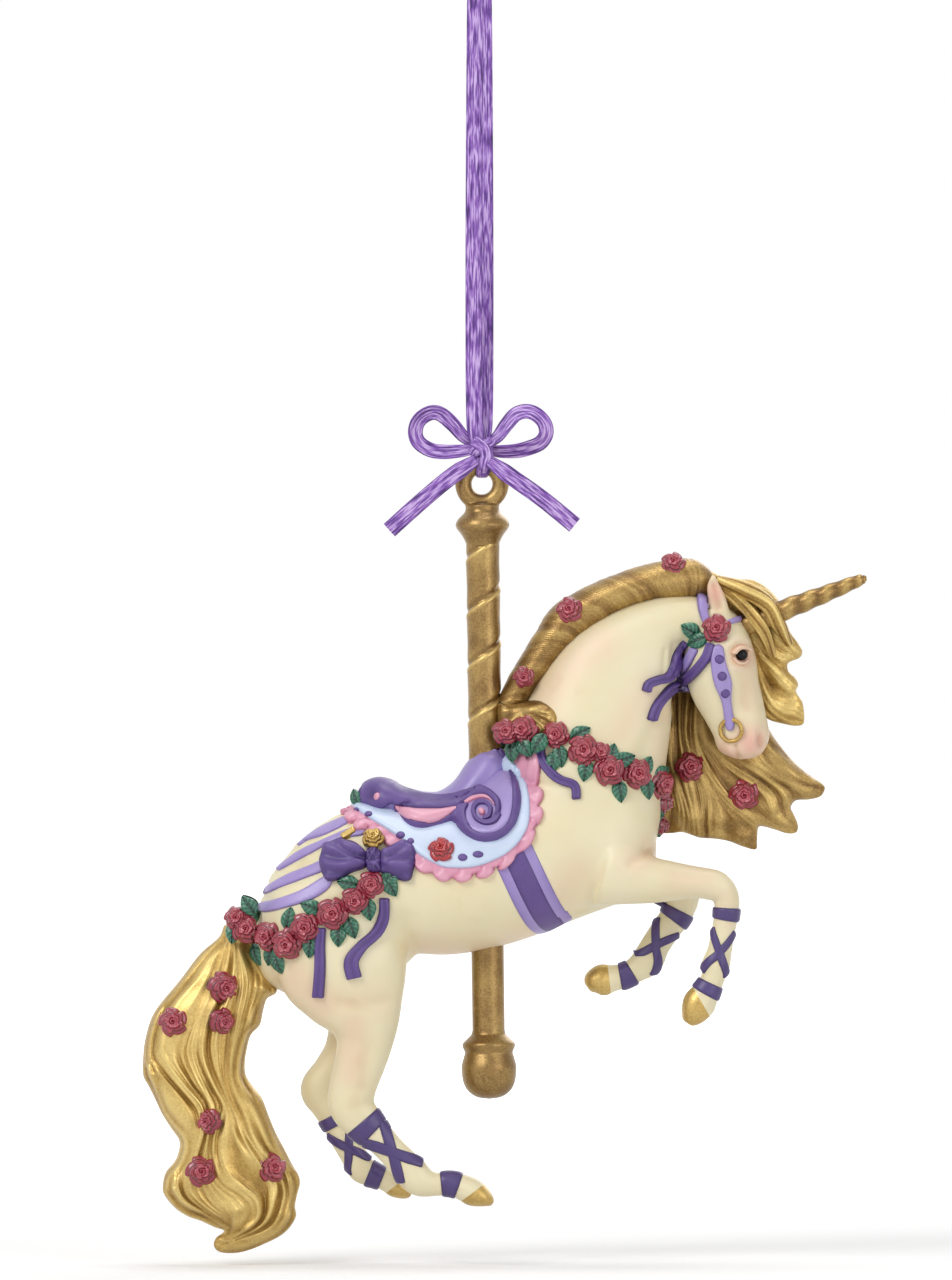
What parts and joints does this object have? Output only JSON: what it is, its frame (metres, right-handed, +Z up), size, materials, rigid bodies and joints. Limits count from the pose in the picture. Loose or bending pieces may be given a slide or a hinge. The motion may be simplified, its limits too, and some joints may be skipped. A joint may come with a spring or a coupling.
{
  "type": "carousel horse ornament",
  "caption": "Hanging carousel unicorn figurine on a twisted pole, with saddle, blanket, rose garlands and gold mane, on a tied satin ribbon loop.",
  "frame": {"origin": "inside top of the ribbon's hanging loop, where the hook carries it", "axes": "+Z up along the hanging ribbon, +X the way the animal faces, +Y from its near side to its far side"},
  "size_m": [0.1149, 0.0284, 0.2064],
  "materials": {
    "cream_resin": "hand-painted cream with a warm blush, soft gloss",
    "gold_paint": "antiqued metallic gold paint",
    "black_gloss": "glossy",
    "pale_blue_paint": "soft gloss with a pearl sheen",
    "pink_paint": "soft gloss",
    "lilac_paint": "soft gloss with a pearl sheen",
    "purple_paint": "soft gloss with a pearl sheen",
    "crimson_paint": "soft gloss",
    "satin_ribbon": "woven satin with a metallic fleck"
  },
  "bodies": {
    "hanger": {"ribbon_hanger": "satin_ribbon"},
    "bow": {"bow_knot": "satin_ribbon", "bow_loop_left": "satin_ribbon", "bow_loop_right": "satin_ribbon", "bow_tail_left": "satin_ribbon", "bow_tail_right": "satin_ribbon"},
    "eye_loop": {"ribbon_eye_loop": "satin_ribbon"},
    "figure": {"horse_torso": "cream_resin", "horse_neck": "cream_resin", "horse_head": "cream_resin", "leg_fore_near": "cream_resin", "leg_fore_far": "cream_resin", "leg_hind_near": "cream_resin", "leg_hind_far": "cream_resin", "pole_eye_cap": "gold_paint", "pole_shaft": "gold_paint", "pole_finial": "gold_paint", "horn": "gold_paint", "mane_crest": "gold_paint", "mane_fall": "gold_paint", "forelock": "gold_paint", "tail": "gold_paint", "hoof_fore_near": "gold_paint", "hoof_fore_far": "gold_paint", "hoof_hind_near": "gold_paint", "hoof_hind_far": "gold_paint", "eye_near": "black_gloss", "eye_far": "black_gloss", "saddle_blanket": "pale_blue_paint", "blanket_border": "pink_paint", "saddle": "lilac_paint", "girth": "lilac_paint", "rump_straps_near": "lilac_paint", "rump_straps_far": "lilac_paint", "bridle_near": "lilac_paint", "bridle_far": "lilac_paint", "rump_bow_near": "purple_paint", "rump_bow_far": "purple_paint", "lacing_fore_near": "purple_paint", "lacing_fore_far": "purple_paint", "lacing_hind_near": "purple_paint", "lacing_hind_far": "purple_paint", "breast_garland": "crimson_paint", "rump_garland_near": "crimson_paint", "rump_garland_far": "crimson_paint", "bridle_rose_near": "crimson_paint", "bridle_rose_far": "crimson_paint", "blanket_rose_near": "crimson_paint", "blanket_rose_far": "crimson_paint", "rose_crest_1": "crimson_paint", "rose_crest_2": "crimson_paint", "rose_crest_3": "crimson_paint", "rose_fall_1": "crimson_paint", "rose_fall_2": "crimson_paint", "rose_tail_1": "crimson_paint", "rose_tail_2": "crimson_paint", "rose_tail_3": "crimson_paint", "rose_tail_4": "crimson_paint", "rose_tail_5": "crimson_paint", "rose_tail_6": "crimson_paint"}
  },
  "joints": [
    {"name": "ribbon_twist", "type": "hinge", "parent": "hanger", "child": "bow", "pos_m": [0, 0, -0.0752], "axis": [0, 0, 1], "range_deg": [-90, 90]},
    {"name": "eye_rock", "type": "hinge", "parent": "bow", "child": "eye_loop", "pos_m": [0, 0, -0.08022], "axis": [1, 0, 0], "range_deg": [-14, 20]},
    {"name": "eye_swing", "type": "hinge", "parent": "eye_loop", "child": "figure", "pos_m": [0, 0, -0.0832], "axis": [0, 1, 0], "range_deg": [-35, 35]}
  ]
}
